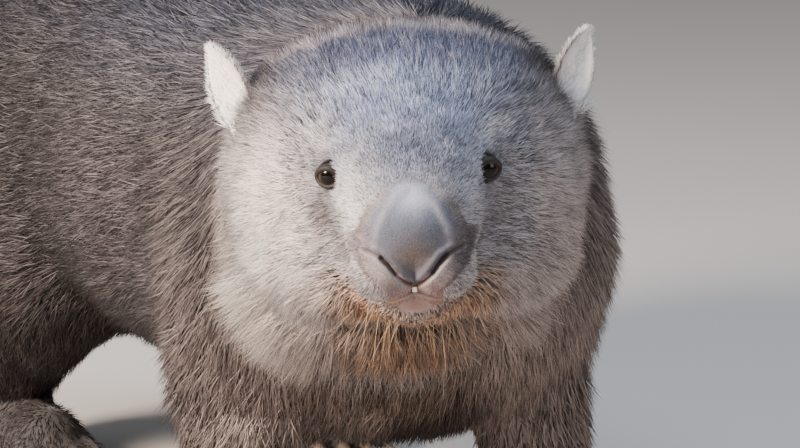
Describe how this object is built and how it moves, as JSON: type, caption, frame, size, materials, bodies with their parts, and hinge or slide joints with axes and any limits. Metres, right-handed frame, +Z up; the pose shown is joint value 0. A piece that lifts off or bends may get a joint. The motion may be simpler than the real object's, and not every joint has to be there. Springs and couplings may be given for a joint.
{
  "type": "standing wombat model",
  "caption": "Life-size standing southern hairy-nosed wombat with a broad velvet nose, long pointed ears, thick grizzled coat, short stout legs and digging claws.",
  "frame": {"origin": "on the floor, at the centre of the bounding box's base", "axes": "-Y is the way the animal faces, +Y runs back along the body, +X is the animal's left, +Z is up"},
  "size_m": [0.33, 0.868, 0.3786],
  "materials": {
    "body_fur": "dense coarse coat, dark grey-brown with pale grizzled tips",
    "face_fur": "short silky silver-grey coat, paler and warmer on the cheeks",
    "chin_fur": "rust-tinged fur round the mouth and chin",
    "leg_fur": "dense dark brown coat over leathery soles",
    "ear_fur": "short white fur inside, dark red-brown on the back",
    "nose_velvet": "nose pad covered in very short grey velvety hair",
    "eye": "wet dark brown eye with a clear cornea",
    "claw_horn": "dark worn horn, paler at the tips",
    "tooth": "ivory tooth edge"
  },
  "bodies": {
    "root": {"claw_foreleg_left_1": "claw_horn", "claw_foreleg_left_2": "claw_horn", "claw_foreleg_left_3": "claw_horn", "claw_foreleg_left_4": "claw_horn", "claw_foreleg_left_5": "claw_horn", "claw_foreleg_right_1": "claw_horn", "claw_foreleg_right_2": "claw_horn", "claw_foreleg_right_3": "claw_horn", "claw_foreleg_right_4": "claw_horn", "claw_foreleg_right_5": "claw_horn", "claw_hindleg_left_1": "claw_horn", "claw_hindleg_left_2": "claw_horn", "claw_hindleg_left_3": "claw_horn", "claw_hindleg_left_4": "claw_horn", "claw_hindleg_right_1": "claw_horn", "claw_hindleg_right_2": "claw_horn", "claw_hindleg_right_3": "claw_horn", "claw_hindleg_right_4": "claw_horn", "ear_left": "ear_fur", "ear_right": "ear_fur", "eye_left": "eye", "eye_right": "eye", "foreleg_left": "leg_fur", "foreleg_right": "leg_fur", "front_teeth": "tooth", "head": "face_fur", "hindleg_left": "leg_fur", "hindleg_right": "leg_fur", "lower_jaw": "chin_fur", "neck": "body_fur", "nose_pad": "nose_velvet", "paw_foreleg_left": "leg_fur", "paw_foreleg_right": "leg_fur", "paw_hindleg_left": "leg_fur", "paw_hindleg_right": "leg_fur", "tail": "body_fur", "torso": "body_fur"}
  },
  "joints": []
}
